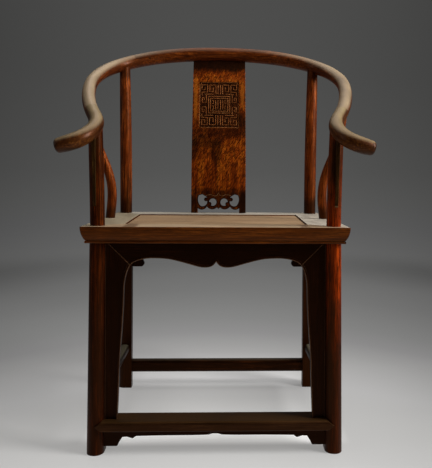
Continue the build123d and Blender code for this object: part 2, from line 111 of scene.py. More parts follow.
def look_up(tree: Tree, value: Socket, run: Sequence[tuple[float, Any]]) -> Socket:
    """Reads a gradient at a value.

    Args:
        tree: The node tree that it goes into.
        value: The socket that says where to read.
        run: Places in rising order, with the linear colour or grey level at each.

    Returns:
        The socket of what is read there.
    """
    first, last = run[0][0], run[-1][0]
    ends = {0: value, 1: first, 2: last, 3: 0.0, 4: 1.0}
    place = add_node(tree, "ShaderNodeMapRange", ends).outputs[0]
    stops = [((at - first) / (last - first), shade) for at, shade in run]
    return add_node(tree, "ShaderNodeValToRGB", {0: place}, stops).outputs[0]


class Grain(Enum):
    """Which way the length of a timber runs, as the turn that lays the X axis along it."""

    ALONG_X = (0.0, 0.0, 0.0)
    ALONG_Y = (0.0, 0.0, math.pi / 2)
    ALONG_Z = (0.0, -math.pi / 2, 0.0)

    @property
    def turn(self) -> Euler:
        """The turn itself."""
        return Euler(self.value)


@dataclass(frozen=True)
class Noise:
    """One size of irregularity in the wood, drawn out along the grain.

    Attributes:
        stretch: How many times as long as wide its features are.
        scale: About how many of them fit in a metre across the grain.
        detail: How many finer sizes are laid over them.
        roughness: How strong the finer sizes are.
    """

    stretch: float
    scale: float
    detail: float
    roughness: float = 0.5

    def level(self, tree: Tree, lay: dict[str, Any]) -> Socket:
        """Adds the noise to a material.

        Args:
            tree: The node tree that it goes into.
            lay: How the timber lies, as the inputs of a mapping.

        Returns:
            The socket of its grey level.
        """
        drawn_out = {**lay, "Scale": (self.stretch, 1, 1)}
        along = add_node(tree, "ShaderNodeMapping", drawn_out, vector_type="TEXTURE").outputs[0]
        inputs = {"Scale": self.scale, "Detail": self.detail, "Roughness": self.roughness}
        return add_node(tree, "ShaderNodeTexNoise", {"Vector": along, **inputs}).outputs[0]


# Open pores, drawn about twice as wide as the real 0.3 mm so that they show.
PORES = Noise(stretch=30, scale=1100, detail=2)
# Flecks 3 mm wide and 15 mm long, slanting a third of a right angle off the grain.
FLECKS = Noise(stretch=5, scale=300, detail=2, roughness=0.6)
FLECK_SLANT = math.pi / 6
# Patches about 40 mm wide and 120 mm long where the lacquer is thin.
PATCHES = Noise(stretch=3, scale=26, detail=6, roughness=0.6)


@dataclass(frozen=True)
class Mark:
    """A stain, bare place, painted shade or painted highlight, right through a timber front to
    back.

    Attributes:
        x: Its middle across the chair, in millimetres.
        z: The height of its middle, in millimetres.
        half_width: Half its width, in millimetres.
        half_height: Half its height, in millimetres.
        strength: How far it covers what is under it, from 0 to 1.
        colour: Its colour.
    """

    x: float
    z: float
    half_width: float
    half_height: float
    strength: float
    colour: str


@dataclass(frozen=True)
class LacqueredElm:
    """Elm under thin old lacquer: dark where the lacquer is whole, redder where hands wore it.

    Attributes:
        name: Name of the finish.
        dark: Colour of the whole lacquer and of the pores.
        middle: Colour of most of the surface.
        light: Colour where the lacquer is worn thin.
        dust_and_sheen: Colour of faces that look up: dust, and a painted sheen of the light from
            above.
        dust_and_sheen_share: How much of that colour those faces take.
        dust_and_sheen_from: Upward tilt at which it starts, as the height of the surface normal.
        dust_and_sheen_full: Upward tilt at which it is full.
        dust_and_sheen_by_height: How that share changes with height, as heights in millimetres and
            factors.
        light_share: Share of the surface that is worn thin, from 0 to 1.
        streak_mm: Width of a band of early wood.
        figure: Strength of the flat-sawn figure, from 0 to 1.
        fleck: Strength of short slanting flecks, from 0 to 1.
        edge_wear: How far the sharp edges are worn to the light colour.
        edge_radius: Radius of the wear on a sharp edge.
        roughness: Roughness of the worn surface.
        gloss: Strength of its reflections.
        sheen: Colour that the brown lacquer gives them.
        coat: Weight of the lacquer's clear top.
        coat_roughness: Roughness of that clear top.
        coat_colour: Colour of that clear top.
        relief: Depth of the open grain.
        marks: Stained or bare places, and places of painted shade or painted highlight.
    """

    name: str
    dark: str
    middle: str
    light: str
    dust_and_sheen: str
    dust_and_sheen_share: float = 0.4
    dust_and_sheen_from: float = 0.8
    dust_and_sheen_full: float = 0.98
    dust_and_sheen_by_height: Factors = ()
    light_share: float = 0.5
    streak_mm: float = 4.0
    figure: float = 0.0
    fleck: float = 0.15
    edge_wear: float = 0.5
    edge_radius: float = 1.3 * MM
    roughness: float = 0.42
    gloss: float = 0.16
    sheen: str = "ff9848"
    coat: float = 0.02
    coat_roughness: float = 0.22
    coat_colour: str = "ffe8c8"
    relief: float = 0.25 * MM
    marks: tuple[Mark, ...] = ()

    def streaks(self, tree: Tree, lay: dict[str, Any]) -> Socket:
        """Adds bands of early and late wood, and the arches of the flat-sawn figure over them.

        Args:
            tree: The material's node tree.
            lay: How the timber lies, as the inputs of a mapping.

        Returns:
            The socket of their grey level.
        """
        bands = Noise(stretch=24, scale=1 / (self.streak_mm * MM), detail=5, roughness=0.62)
        bands = bands.level(tree, lay)

        # The arches are about 20 mm from one ring to the next.
        drawn_out = {**lay, "Scale": (7, 1, 1)}
        along = add_node(tree, "ShaderNodeMapping", drawn_out, vector_type="TEXTURE").outputs[0]
        rings = add_node(
            tree,
            "ShaderNodeTexWave",
            {"Vector": along, "Scale": 14, "Distortion": 7, "Detail": 4, "Detail Scale": 2.2},
            bands_direction="Y",
        ).outputs["Fac"]
        mixed = {0: self.figure, 2: bands, 3: rings}
        return add_node(tree, "ShaderNodeMix", mixed, data_type="FLOAT").outputs[0]

    def wood(self, tree: Tree, streaks: Socket, patches: Socket) -> Socket:
        """Colours the bands, in one way under whole lacquer and in another where it is thin.

        Args:
            tree: The material's node tree.
            streaks: Grey level of the bands.
            patches: Grey level of the patches where the lacquer is thin.

        Returns:
            The socket of the colour.
        """
        dark, middle, light = linear(self.dark), linear(self.middle), linear(self.light)
        worn = look_up(tree, streaks, ((0.3, dark), (0.5, middle), (0.72, light)))
        whole = look_up(tree, streaks, ((0.3, dark), (0.8, middle)))
        edge = 0.68 - 0.36 * self.light_share
        thin = look_up(tree, patches, ((edge - 0.1, 0.0), (edge + 0.12, 1.0)))
        mixed = {0: thin, 6: whole, 7: worn}
        return add_node(tree, "ShaderNodeMix", mixed, data_type="RGBA").outputs[2]

    def edges(self, tree: Tree, rounded: Socket, normal: Socket) -> Socket:
        """Finds the sharp edges, where a rounded normal leaves the true one.

        Args:
            tree: The material's node tree.
            rounded: The normal as worn edges would have it.
            normal: The true normal.

        Returns:
            The socket of how worn each place is.
        """
        both_normals = {0: rounded, 1: normal}
        flat = add_node(tree, "ShaderNodeVectorMath", both_normals, operation="DOT_PRODUCT")
        wear = {0: flat.outputs["Value"], 1: 0.995, 2: 0.86, 3: 0.0, 4: self.edge_wear}
        return add_node(tree, "ShaderNodeMapRange", wear).outputs[0]

    def upward(self, tree: Tree, where: Socket, normal: Socket, patches: Socket) -> Socket:
        """Finds the faces that look up, and how much dust and painted sheen each takes.

        Args:
            tree: The material's node tree.
            where: Object coordinates.
            normal: The true normal.
            patches: Grey level of the patches, which make the dust and painted sheen cloudy.

        Returns:
            The socket of its share.
        """
        tilt = add_node(tree, "ShaderNodeSeparateXYZ", {0: normal}).outputs["Z"]
        share = add_node(
            tree,
            "ShaderNodeMapRange",
            {0: tilt, 1: self.dust_and_sheen_from, 2: self.dust_and_sheen_full, 3: 0.0, 4: self.dust_and_sheen_share},
            interpolation_type="SMOOTHSTEP",
        ).outputs[0]
        clouds = {0: patches, 1: 0.3, 2: 0.6, 3: 0.65, 4: 1.0}
        factors = [add_node(tree, "ShaderNodeMapRange", clouds).outputs[0]]
        if self.dust_and_sheen_by_height:
            height = add_node(tree, "ShaderNodeSeparateXYZ", {0: where}).outputs["Z"]
            factors.append(look_up(tree, height, [(z * MM, part) for z, part in self.dust_and_sheen_by_height]))
        for factor in factors:
            product = {0: share, 1: factor}
            share = add_node(tree, "ShaderNodeMath", product, operation="MULTIPLY").outputs[0]
        return share

    def cover(self, tree: Tree, where: Socket, patches: Socket, mark: Mark) -> Socket:
        """Finds one mark, with an irregular edge.

        Args:
            tree: The material's node tree.
            where: Object coordinates.
            patches: Grey level of the patches, which shape the edge.
            mark: The mark.

        Returns:
            The socket of its share.
        """
        middle = {0: where, 1: (mark.x * MM, 0, mark.z * MM)}
        spot = add_node(tree, "ShaderNodeVectorMath", middle, operation="SUBTRACT").outputs[0]
        size = (1 / (mark.half_width * MM), 0, 1 / (mark.half_height * MM))
        spot = add_node(tree, "ShaderNodeVectorMath", {0: spot, 1: size}, operation="MULTIPLY")
        away = add_node(tree, "ShaderNodeVectorMath", {0: spot.outputs[0]}, operation="LENGTH")
        frayed = {0: patches, 1: -1.6, 2: away.outputs["Value"]}
        away = add_node(tree, "ShaderNodeMath", frayed, operation="MULTIPLY_ADD").outputs[0]
        return add_node(
            tree,
            "ShaderNodeMapRange",
            {0: away, 1: -0.2, 2: 0.5, 3: mark.strength, 4: 0.0},
            interpolation_type="SMOOTHSTEP",
        ).outputs[0]

    def material(self, piece: str, turn: Euler) -> bpy.types.Material:
        """Makes the finish for one timber, with its own run of the grain.

        Args:
            piece: Name of the timber, which also shifts the pattern so that no two are alike.
            turn: The turn that lays the X axis along the timber.

        Returns:
            The material.
        """
        material = bpy.data.materials.new(f"{self.name} {piece}")
        material.use_nodes = True
        tree = material.node_tree
        tree.nodes.clear()
        shift = sum(ord(letter) * (place + 3) for place, letter in enumerate(piece)) % 97 / 10
        where = add_node(tree, "ShaderNodeTexCoord").outputs["Object"]
        normal = add_node(tree, "ShaderNodeNewGeometry").outputs["Normal"]
        bevel = add_node(tree, "ShaderNodeBevel", {"Radius": self.edge_radius}, samples=4)
        rounded = bevel.outputs[0]

        lay = {"Vector": where, "Location": (shift, shift * 1.7, shift * 0.6), "Rotation": turn}
        slanted = {**lay, "Rotation": (turn.x, turn.y + FLECK_SLANT, turn.z)}
        streaks = self.streaks(tree, lay)
        patches = PATCHES.level(tree, lay)
        pores = look_up(tree, PORES.level(tree, lay), ((0.36, 1.0), (0.46, 0.0)))
        flecks = {0: FLECKS.level(tree, slanted), 1: 0.46, 2: 0.58, 3: 0.0, 4: self.fleck}
        flecks = add_node(tree, "ShaderNodeMapRange", flecks).outputs[0]

        layers = [
            (flecks, self.dark),
            (pores, self.dark),
            (self.edges(tree, rounded, normal), self.light),
            # Dust and a painted sheen on the faces that look up.
            (self.upward(tree, where, normal, patches), self.dust_and_sheen),
        ]
        # Stains, bare places, and painted shade and highlights.
        layers += [(self.cover(tree, where, patches, mark), mark.colour) for mark in self.marks]
        colour = self.wood(tree, streaks, patches)
        for share, shade in layers:
            mixed = {0: share, 6: colour, 7: linear(shade)}
            colour = add_node(tree, "ShaderNodeMix", mixed, data_type="RGBA").outputs[2]

        heights = {0: streaks, 1: pores}
        height = add_node(tree, "ShaderNodeMath", heights, operation="SUBTRACT").outputs[0]
        relief = {"Height": height, "Strength": 0.35, "Distance": self.relief, "Normal": rounded}
        bump = add_node(tree, "ShaderNodeBump", relief).outputs[0]
        smooth, rough = self.roughness - 0.08, self.roughness + 0.12
        satin = {0: patches, 1: 0.3, 2: 0.7, 3: smooth, 4: rough}
        satin = add_node(tree, "ShaderNodeMapRange", satin).outputs[0]
        shader = add_node(
            tree,
            "ShaderNodeBsdfPrincipled",
            {
                "Base Color": colour,
                "Roughness": satin,
                "IOR": 1.5,
                "Specular IOR Level": self.gloss,
                "Specular Tint": linear(self.sheen),
                "Coat Weight": self.coat,
                "Coat Roughness": self.coat_roughness,
                "Coat Tint": linear(self.coat_colour),
                "Normal": bump,
            },
        )
        add_node(tree, "ShaderNodeOutputMaterial", {"Surface": shader.outputs[0]})
        return material


# Half the width of a mark that goes all round a timber.
ALL_ROUND = 4000

# Hands and sleeves have worn the rail to a smooth red-brown. Its upper faces are beige: dust,
# and a painted sheen of the light from above.
RAIL_FINISH = LacqueredElm(
    "Hand-worn lacquered elm", "260b02", "602808", "985018", "b09e80",
    dust_and_sheen_share=0.85, dust_and_sheen_from=0.1, dust_and_sheen_full=0.75, light_share=0.55, gloss=0.4, coat=0.1,
    dust_and_sheen_by_height=(
        (670, 0.6), (740, 0.68), (790, 1.0), (945, 1.0), (975, 0.55), (990, 0.25), (1003, 0.06)
    ),
)
# The back of the rail takes less of that beige on its upper faces, and is less glossy.
RAIL_BACK_FINISH = replace(RAIL_FINISH, dust_and_sheen_from=0.2, gloss=0.22, coat=0.04)
# The hand grips are more golden, with olive tops of dust and painted sheen.
HAND_FINISH = replace(
    RAIL_FINISH, middle="42220a", light="7c4a18", dust_and_sheen="a89670", dust_and_sheen_from=0.35
)
# The legs keep most of their dark lacquer: red-brown shows along the grain, and painted shade
# darkens them towards the floor.
LEG_FINISH = LacqueredElm(
    "Dark lacquered elm", "140400", "3e1502", "8a3a08", "6b5236",
    light_share=0.5, gloss=0.14, marks=(Mark(0, 40, ALL_ROUND, 330, 0.7, "1c0b04"),),
)
# The right front leg is a lit copy of the leg finish, painted brighter and redder as if lit
# from the right. Painted shade darkens its foot, the inner side of the leg and a strip down
# the front of its post beside the spandrel, and its post above the seat is darker.
LIT_RIGHT_LEG_FINISH = replace(
    LEG_FINISH, name="Lacquered elm painted as lit", middle="8a2c04", light="d8560c", light_share=0.65,
    marks=(
        Mark(0, 40, ALL_ROUND, 280, 0.9, "1e0f06"),
        Mark(253, 270, 12, 230, 0.6, "241406"),
        Mark(0, 780, ALL_ROUND, 230, 0.65, "2c1a0a"),
        Mark(264, 655, 9, 60, 0.85, "100b06"),
    ),
)
# The rear legs are redder above the seat and nearly black under it, where painted shade stands
# for the shadow of the seat. They are darker where they meet the seat, and a painted shadow of
# the rail darkens their tops.
REAR_LEG_FINISH = replace(
    LEG_FINISH, name="Rear lacquered elm with painted shade", dark="260c03", middle="76300c", light="bc6226",
    light_share=0.65, gloss=0.25,
    marks=(
        Mark(0, 160, ALL_ROUND, 380, 0.95, "0c0401"),
        Mark(0, 512, ALL_ROUND, 42, 0.75, "0e0501"),
        Mark(0, 940, ALL_ROUND, 36, 0.7, "140804"),
    ),
)
# The spandrels of the arm posts are nearly black, with a small painted highlight at the foot of
# the right-hand one.
SPANDREL_FINISH = LacqueredElm(
    "Black-brown lacquer", "160e06", "40280e", "684a24", "4a3828",
    light_share=0.3, gloss=0.1, marks=(Mark(267, 557, 9, 2, 0.6, "8a6844"),),
)
# The bent side posts are handled too, and redder than the legs.
POST_FINISH = LacqueredElm(
    "Handled lacquered elm", "220a02", "7e340c", "bc6426", "8a7458",
    light_share=0.65, gloss=0.35, marks=(Mark(0, 512, ALL_ROUND, 32, 0.8, "0e0501"),),
)
# The aprons are the darkest boards: dark lacquer, painted darker still with the shade under the
# seat and the footrest.
SHADED_APRON_FINISH = LacqueredElm(
    "Dark lacquer in painted shade", "060100", "140501", "321304", "4a3828", light_share=0.3, gloss=0.12
)
# A thin painted highlight line shows where the front boards meet each other and the legs.
SEAM_HIGHLIGHT_FINISH = replace(
    SHADED_APRON_FINISH, name="Painted highlight line", dark="1c0e08", middle="40281a", light="5c4030"
)
# The fine bead along the arch is painted paler than its boards, as a painted highlight.
BEAD_HIGHLIGHT_FINISH = replace(
    SHADED_APRON_FINISH, name="Apron bead with painted highlight", dark="2a180e", middle="5a3c28", light="7a5a40"
)
# The stretchers are dark on their sides, and grey-beige on top from shoes, dust and a painted
# sheen.
STRETCHER_FINISH = LacqueredElm(
    "Dusty dark lacquer", "080300", "1c0a02", "44200a", "a8a084", dust_and_sheen_share=0.38, dust_and_sheen_from=0.6
)
# The rear stretcher takes almost none of that grey-beige.
REAR_STRETCHER_FINISH = replace(STRETCHER_FINISH, dust_and_sheen_share=0.08)
# The footrest is scrubbed smooth by shoes: an even olive-brown.
FOOTREST_FINISH = LacqueredElm(
    "Shoe-scrubbed elm", "140a04", "2a180c", "442a14", "463018",
    dust_and_sheen_share=0.6, dust_and_sheen_from=0.5, edge_wear=0.05, gloss=0.22,
)
# The splat is a flat-sawn board: orange-brown, with arched figure and slanting flecks. A painted
# shadow of the rail darkens its head, smoke and grime darken its middle, its pierced foot is
# darker, and the strips beside the carving are bare.
SMOKE_AND_SHADOW, BARE = "0e0603", "b4661a"
SPLAT_FINISH = LacqueredElm(
    "Flat-sawn lacquered elm", "3a1202", "903c0a", "c46a18", "9a8468",
    light_share=0.7, figure=0.15, fleck=0.85, edge_wear=0.6,
    marks=(
        Mark(-69, 838, 6, 66, 0.4, BARE),
        Mark(69, 862, 6, 42, 0.4, BARE),
        # Painted shadow of the rail across the head of the board.
        Mark(0, 957, 170, 24, 0.95, SMOKE_AND_SHADOW),
        Mark(0, 748, 120, 19, 0.6, SMOKE_AND_SHADOW),
        Mark(-46, 720, 52, 19, 0.65, SMOKE_AND_SHADOW),
        Mark(-9, 694, 16, 36, 0.7, SMOKE_AND_SHADOW),
        Mark(-76, 700, 16, 38, 0.7, SMOKE_AND_SHADOW),
        Mark(48, 784, 36, 30, 0.8, SMOKE_AND_SHADOW),
        Mark(-40, 577, 44, 9, 0.55, SMOKE_AND_SHADOW),
        Mark(40, 574, 46, 9, 0.55, SMOKE_AND_SHADOW),
        Mark(0, 545, 66, 32, 0.8, SMOKE_AND_SHADOW),
        Mark(74, 535, 16, 44, 0.95, SMOKE_AND_SHADOW),
        Mark(-74, 525, 16, 40, 0.85, SMOKE_AND_SHADOW),
    ),
)
# The ground of the carving holds old grime and the painted shade of the recess, and its raised
# lines are polished bare, with a painted highlight.
GROUND_FINISH = LacqueredElm(
    "Grimy carved ground", "0c0401", "321406", "5c2a0e", "3c281a", fleck=0.3
)
LINE_FINISH = LacqueredElm(
    "Polished carved line", "5c2a0c", "985424", "c08850", "d0a878", light_share=0.8, fleck=0.1
)
# The small lines over the pierced scrolls are paler than the board, as a painted highlight.
SCROLL_HIGHLIGHT_FINISH = LacqueredElm(
    "Carved line with painted highlight", "4a2a14", "7a5230", "9a7450", "a88a68", light_share=0.7, fleck=0.1
)
# Rims of scrolls and grooves are black with grime and with painted shade in the hollows.
RIM_FINISH = LacqueredElm("Scroll rim with grime and painted shade", "080200", "1c0a03", "38180a", "3c281a")
# The seat frame is pale on its flat top with dust and a painted sheen, and dark on its moulded
# edge.
FRAME_FINISH = LacqueredElm(
    "Rubbed elm seat frame", "220c02", "5a2806", "804412", "b8ac90",
    dust_and_sheen_share=0.85, dust_and_sheen_from=0.9, light_share=0.5, gloss=0.4,
)
# Its front rail is palest on top with dust and a painted sheen, with brown patches near its ends.
FRONT_RAIL_FINISH = replace(
    FRAME_FINISH, name="Pale rubbed elm seat frame", dust_and_sheen="c4aa88",
    marks=(Mark(-191, 512, 15, 6, 0.65, "4a2c14"), Mark(198, 512, 11, 6, 0.5, "4a2c14")),
)
# The rear and right rails are painted greyest and palest on top, with the most painted sheen.
GREY_RAIL_FINISH = replace(FRAME_FINISH, name="Grey rubbed elm seat frame", dust_and_sheen="d4ccba")
# The seat board is dry, pale and scuffed, with little lacquer left, and its top takes dust and a
# painted sheen.
PANEL_FINISH = LacqueredElm(
    "Scuffed elm seat board", "5c3c24", "906844", "b08c66", "b89c7a",
    dust_and_sheen_share=0.6, light_share=0.8, figure=0.3, roughness=0.55, gloss=0.22, coat=0.0,
)
# Battens underneath were never polished.
HIDDEN_FINISH = LacqueredElm(
    "Unpolished elm", "2a1509", "4d2c17", "6b4225", "6b4225", dust_and_sheen_share=0.0, roughness=0.7, coat=0.0
)
# Wedge pins show dark end grain.
PEG_FINISH = LacqueredElm(
    "End-grain elm pin", "1c0a03", "4a2208", "6a3410", "8a7458", streak_mm=2.0, dust_and_sheen_from=0.1
)


def timber_turn(start: Vector, end: Vector) -> Euler:
    """The turn that lays the X axis along a timber from one place to another."""
    return (end - start).to_track_quat("X", "Z").to_euler()


def dress(name: str, finish: LacqueredElm, turn: Euler) -> None:
    """Gives one node of the frame its finish.

    Args:
        name: The node's name.
        finish: What its surface is.
        turn: The turn that lays the X axis along its timber.
    """
    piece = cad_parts[name]
    piece.data.materials.clear()
    piece.data.materials.append(finish.material(name, turn))
    LOG.info("%s: %s", name, finish.name)


def both(name: str) -> list[str]:
    """The left and right nodes of a name."""
    return [f"{name}_{side}" for _, side in SIDES]


def front_of(name: str, x: float, z: float) -> Vector:
    """The point of a node's front surface at a place, looked at squarely.

    Args:
        name: The node's name.
        x: Place across the chair.
        z: Height.

    Returns:
        The point, or one well behind where the node is open there.
    """
    before, behind, inwards = Vector((x, -1, z)), Vector((x, 0.2, z)), Vector((0, 1, 0))
    hit, point, _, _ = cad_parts[name].ray_cast(before, inwards)
    return point if hit else behind


def edge_lines(name: str, wanted: Callable[[Vector, Vector], bool]) -> list[list[Vector]]:
    """Reads the edges between a board's front and its sides from the board itself.

    Args:
        name: The node's name.
        wanted: Takes an end of an edge and the normal of the side, and says whether it counts.

    Returns:
        Lines of points.
    """
    # A front's normal has a Y under the first of these, and a side's has one over the second.
    facing, sideways = -0.8, -0.4
    weld = 0.01 * MM
    shape = bmesh.new()
    shape.from_mesh(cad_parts[name].data)
    bmesh.ops.remove_doubles(shape, verts=shape.verts, dist=weld)
    left = {}
    for edge in shape.edges:
        faces = sorted(edge.link_faces, key=lambda face: face.normal.y)
        if len(faces) == 2 and faces[0].normal.y < facing and faces[1].normal.y > sideways:
            if all(wanted(vertex.co, faces[1].normal) for vertex in edge.verts):
                left[edge] = True
    lines = []
    while left:
        onward = next(iter(left))
        here = onward.verts[0]
        line = [here.co.copy()]
        while onward:
            del left[onward]
            here = onward.other_vert(here)
            line.append(here.co.copy())
            onward = next((edge for edge in here.link_edges if edge in left), None)
        lines.append(line)
    shape.free()
    return lines


def add_piece(name: str, mesh: bpy.types.Mesh, finish: LacqueredElm) -> None:
    """Adds a piece of carving or trim to the chair, with an upright grain.

    Args:
        name: Name of the new piece.
        mesh: Its mesh, in place.
        finish: What its surface is.
    """
    for face in mesh.polygons:
        face.use_smooth = True
    mesh.materials.append(finish.material(name, Grain.ALONG_Z.turn))
    piece = bpy.data.objects.new(name, mesh)
    bpy.context.scene.collection.objects.link(piece)
    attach(piece, "root")
    LOG.info("%s: %d faces", name, len(mesh.polygons))


def add_lines(
    name: str, paths: list[list[Vector]], radius: float, finish: LacqueredElm
) -> None:
    """Adds round lines with closed ends as one piece of carving or trim.

    Args:
        name: Name of the new piece.
        paths: The points of each line.
        radius: Radius of the lines.
        finish: What their surface is.
    """
    curve = bpy.data.curves.new(name, "CURVE")
    curve.dimensions = "3D"
    curve.bevel_depth = radius
    curve.bevel_resolution = 2
    curve.use_fill_caps = True
    for path in paths:
        spline = curve.splines.new("POLY")
        spline.points.add(len(path) - 1)
        for point, place in zip(spline.points, path):
            point.co = (*place, 1)
    drawn = bpy.data.objects.new(name, curve)
    mesh = bpy.data.meshes.new_from_object(drawn)
    bpy.data.objects.remove(drawn)
    add_piece(name, mesh, finish)


@dataclass
class CrestRail:
    """The round rail of five scarfed timbers, each sawn straight-grained and carved to its curve.

    Attributes:
        back_end: Where the right-hand back scarf lies.
        front_end: Where the right-hand front scarf lies.
        grip_end: Tip of the right-hand grip.
        groove: The short groove across the front of that tip, in millimetres.
        groove_radius: Half its width.
        groove_depth: How far its middle lies under the surface.
    """

    back_end: Place = (0.215, 0.230, 0.965)
    front_end: Place = (0.305, -0.090, 0.790)
    grip_end: Place = (0.340, -0.263, 0.685)
    groove: Outline = (
        (337.5, 690.5), (333, 689.5), (328, 688), (323, 686.3),
        (317, 685.2), (311, 685.3), (305, 687),
    )
    groove_radius: float = 1.3 * MM
    groove_depth: float = 1.2 * MM

    def build(self) -> None:
        """Dresses the five lengths and their wedge pins, and cuts the grooves of the grips."""
        dress("crest_rail_back", RAIL_BACK_FINISH, Grain.ALONG_X.turn)
        sunk = Vector((0, self.groove_depth, 0))
        grooves = []
        for flip, side in SIDES:
            mirror = Matrix.Diagonal((flip, 1, 1))
            ends = (self.back_end, self.front_end, self.grip_end)
            back, front, grip = (mirror @ Vector(end) for end in ends)
            dress(f"crest_rail_arm_{side}", RAIL_FINISH, timber_turn(back, front))
            # The tip is darker, and painted shade darkens the underside of the grip.
            tip = Mark(flip * 340, 688, 9, 8, 0.8, "160a04")
            shade_under_grip = Mark(flip * 310, 676, 30, 6, 0.85, "120803")
            hand = f"crest_rail_hand_{side}"
            dress(hand, replace(HAND_FINISH, marks=(tip, shade_under_grip)), timber_turn(front, grip))
            grooves.append([front_of(hand, flip * x * MM, z * MM) + sunk for x, z in self.groove])
        add_lines("grip_grooves", grooves, self.groove_radius, RIM_FINISH)
        dress("scarf_wedges", PEG_FINISH, Grain.ALONG_Y.turn)


@dataclass
class Splat:
    """The bent back board, with a carved square near its head and a pierced foot.

    Attributes:
        middle: Height of the carved square's middle.
        half_width: Half its width.
        half_height: Half its height.
        pitch: Distance from one carved line to the next.
        line: Radius of the raised lines.
        inset: How far the border's middle lies inside the square's edge.
        notch: Step in the border's upper corners, as a share of half a side.
        step: Longest stretch of a line that is left straight.
        ground_inset: How far the grimy ground stops short of the square's edge.
        ground_lift: How far it lies in front of the recess's floor.
        quarter: The fret in one quarter of the square, in pitches from its middle.
        scrolls: Where the pierced scrolls are, as half their width, their foot and their head.
        rim: Radius of the rims of the scrolls.
        brow: The painted highlight line over the right-hand scrolls, from its peak in the middle,
            in millimetres.
        brow_radius: Half its width.
        crack: The old drying crack below the square, in millimetres.
        crack_radius: Half its width.
    """

    middle: float = 832 * MM
    half_width: float = 59.5 * MM
    half_height: float = 70 * MM
    pitch: float = 6.3 * MM
    line: float = 1.0 * MM
    inset: float = 1.5 * MM
    notch: float = 0.09
    step: float = 8 * MM
    ground_inset: float = 0.3 * MM
    ground_lift: float = 0.15 * MM
    quarter: tuple[Outline, ...] = (
        ((0, 4), (5, 4), (5, 0)),
        ((0, 3.1), (4.1, 3.1), (4.1, 0)),
        ((0.6, 2.2), (0.6, -0.1)),
        ((1.7, 2.2), (1.7, -0.1)),
        ((3.2, 2.2), (2.7, 2.2), (2.7, 0.6), (3.3, 0.6)),
        ((6.1, 4.6), (6.1, 1.1), (8.0, 1.1), (8.0, 3.4), (7.1, 3.4), (7.1, 2.2)),
        ((0.6, 5.1), (0.6, 9.6)),
        ((1.6, 5.1), (1.6, 9.6), (4.5, 9.6), (4.5, 6.3), (2.8, 6.3), (2.8, 8.3)),
        (
            (8.1, 4.4), (8.1, 6.1), (5.5, 6.1), (5.5, 9.6),
            (8.2, 9.6), (8.2, 7.3), (6.7, 7.3), (6.7, 8.5),
        ),
        ((2.8, 5.1), (6.8, 5.1)),
    )
    scrolls: tuple[float, float, float] = (66 * MM, 515 * MM, 590 * MM)
    rim: float = 1.3 * MM
    brow: Outline = ((0, 572), (4, 564), (11, 562), (22, 566), (36, 564))
    brow_radius: float = 0.7 * MM
    crack: Outline = ((-7, 668), (-6, 655), (-6.5, 640), (-4, 626), (-3.5, 612), (-1, 598))
    crack_radius: float = 0.45 * MM

    def traced(self, corners: list[tuple[float, float]]) -> list[Vector]:
        """Lays a line of corners on the bent front, with a point at least every few millimetres.

        Args:
            corners: Places as x and z.

        Returns:
            Points on the board.
        """
        points = [front_of("back_splat", *corners[0])]
        for (x0, z0), (x1, z1) in zip(corners, corners[1:]):
            steps = max(1, round(math.hypot(x1 - x0, z1 - z0) / self.step))
            for step in range(1, steps + 1):
                x, z = x0 + (x1 - x0) * step / steps, z0 + (z1 - z0) * step / steps
                points.append(front_of("back_splat", x, z))
        return points

    def fret(self) -> list[list[Vector]]:
        """The raised lines of the whole square: its border, and the quarter four times over.

        Returns:
            Lines of points on the board.
        """
        edge_x, edge_z = self.half_width - self.inset, self.half_height - self.inset
        top = 1 - self.notch
        border = [(0, -1), (1, -1), (1, top), (top, top), (top, 1), (0, 1)]
        paths = [
            [(flip * edge_x * a, self.middle + edge_z * b) for a, b in border] for flip, _ in SIDES
        ]
        for across in (-self.pitch, self.pitch):
            for up in (-self.pitch, self.pitch):
                for corners in self.quarter:
                    paths.append([(across * u, self.middle + up * v) for u, v in corners])
        return [self.traced(path) for path in paths]

    def ground(self) -> None:
        """Lays the carving's ground, grime and painted shade, a hair in front of the recess floor.
        """
        shape = bmesh.new()
        bmesh.ops.create_grid(shape, x_segments=4, y_segments=14, size=1)
        half_x, half_z = self.half_width - self.ground_inset, self.half_height - self.ground_inset
        lift = Vector((0, -self.ground_lift, 0))
        for vertex in shape.verts:
            x, z = vertex.co.x * half_x, self.middle + vertex.co.y * half_z
            vertex.co = front_of("back_splat", x, z) + lift
        mesh = bpy.data.meshes.new("carved_ground")
        shape.to_mesh(mesh)
        shape.free()
        add_piece("carved_ground", mesh, GROUND_FINISH)

    def build(self) -> None:
        """Dresses the board and carves it."""
        dress("back_splat", SPLAT_FINISH, Grain.ALONG_Z.turn)
        self.ground()
        reach, foot, head = self.scrolls
        rims = edge_lines("back_splat", lambda at, _: abs(at.x) < reach and foot < at.z < head)
        brows = [self.traced([(flip * x * MM, z * MM) for x, z in self.brow]) for flip, _ in SIDES]
        crack = self.traced([(x * MM, z * MM) for x, z in self.crack])
        for name, paths, radius, finish in (
            ("carved_fret", self.fret(), self.line, LINE_FINISH),
            ("scroll_rims", rims, self.rim, RIM_FINISH),
            ("scroll_brows", brows, self.brow_radius, SCROLL_HIGHLIGHT_FINISH),
            ("splat_crack", [crack], self.crack_radius, GROUND_FINISH),
        ):
            add_lines(name, paths, radius, finish)


